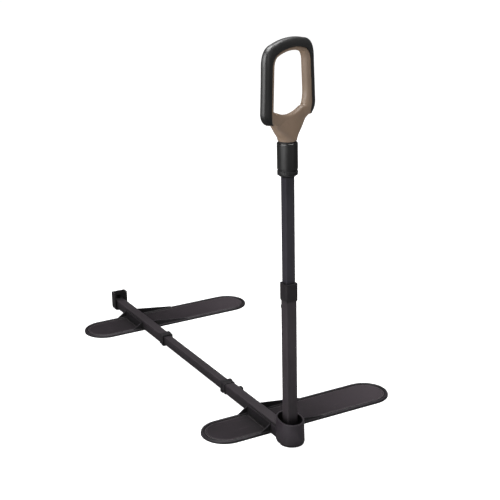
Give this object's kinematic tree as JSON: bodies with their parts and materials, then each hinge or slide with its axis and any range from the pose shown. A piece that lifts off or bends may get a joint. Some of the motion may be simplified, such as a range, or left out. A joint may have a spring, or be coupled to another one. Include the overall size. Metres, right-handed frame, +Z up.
{
  "type": "couch standing aid",
  "caption": "Standing aid for a couch: a telescoping bar with long padded feet that lie under the couch, and a height-adjustable post with a swivelling loop handle.",
  "frame": {"origin": "on the floor, at the middle of the footprint of the whole part in its pictured pose", "axes": "+X along the feet, +Y along the bar from the post to the end stop, +Z up"},
  "size_m": [0.398, 0.8236, 0.7223],
  "materials": {
    "black_powder_coat": "satin black powder coat with a fine grain",
    "black_plastic": "satin black moulded plastic",
    "mat_rubber": "matt charcoal grip mat",
    "sole_rubber": "matt black rubber",
    "taupe_plastic": "satin taupe moulded plastic",
    "grip_rubber": "soft-touch charcoal overmould",
    "bare_steel": "zinc-plated steel"
  },
  "bodies": {
    "base": {"near_foot_tray": "black_plastic", "near_grip_mats": "mat_rubber", "near_sole_pads": "sole_rubber", "near_foot_screws": "bare_steel", "near_tube": "black_powder_coat", "near_collar": "black_plastic", "near_boss": "black_powder_coat", "pole_socket": "black_plastic", "socket_pad": "sole_rubber", "tongue_screw": "bare_steel", "lower_pole": "black_powder_coat", "pole_plug": "black_plastic", "pole_bolt": "bare_steel", "pole_collar": "black_plastic", "pole_boss": "black_powder_coat"},
    "center": {"center_tube": "black_powder_coat", "center_end_plugs": "black_plastic"},
    "far_base": {"far_tube": "black_powder_coat", "far_collar": "black_plastic", "far_boss": "black_powder_coat", "far_foot_tray": "black_plastic", "far_grip_mats": "mat_rubber", "far_sole_pads": "sole_rubber", "far_foot_screws": "bare_steel", "end_stop": "black_plastic", "end_stop_screws": "bare_steel"},
    "mast": {"upper_pole": "black_powder_coat", "upper_pole_glide": "black_plastic", "swivel_hub": "bare_steel", "swivel_bush": "black_plastic", "collar_ring": "black_plastic"},
    "lock": {"lock_collar": "black_plastic"},
    "handle": {"handle_stem": "bare_steel", "handle_frame": "taupe_plastic", "handle_grip": "grip_rubber"},
    "near_clamp": {"near_knob": "black_plastic"},
    "far_clamp": {"far_knob": "black_plastic"},
    "pole_clamp": {"pole_knob": "black_plastic"}
  },
  "joints": [
    {"name": "near_slide", "type": "slide", "parent": "base", "child": "center", "axis": [0, 1, 0], "range_m": [-0.132, 0.012]},
    {"name": "far_slide", "type": "slide", "parent": "center", "child": "far_base", "axis": [0, 1, 0], "range_m": [-0.132, 0.012]},
    {"name": "height_slide", "type": "slide", "parent": "base", "child": "mast", "axis": [0, 0, 1], "range_m": [0, 0.076]},
    {"name": "collar_twist", "type": "hinge", "parent": "mast", "child": "lock", "pos_m": [-0.071, -0.37539, 0.5064], "axis": [0, 0, 1], "range_deg": [-60, 0]},
    {"name": "handle_swivel", "type": "hinge", "parent": "mast", "child": "handle", "pos_m": [-0.071, -0.37539, 0.5518], "axis": [0, 0, 1], "continuous": true},
    {"name": "near_knob_turn", "type": "hinge", "parent": "base", "child": "near_clamp", "pos_m": [-0.0609, -0.15939, 0.0143], "axis": [1, 0, 0], "range_deg": [-360, 0]},
    {"name": "far_knob_turn", "type": "hinge", "parent": "far_base", "child": "far_clamp", "pos_m": [-0.0609, 0.17061, 0.0143], "axis": [1, 0, 0], "range_deg": [-360, 0]},
    {"name": "pole_knob_turn", "type": "hinge", "parent": "base", "child": "pole_clamp", "pos_m": [-0.071, -0.36529, 0.257], "axis": [0, 1, 0], "range_deg": [-360, 0]}
  ]
}
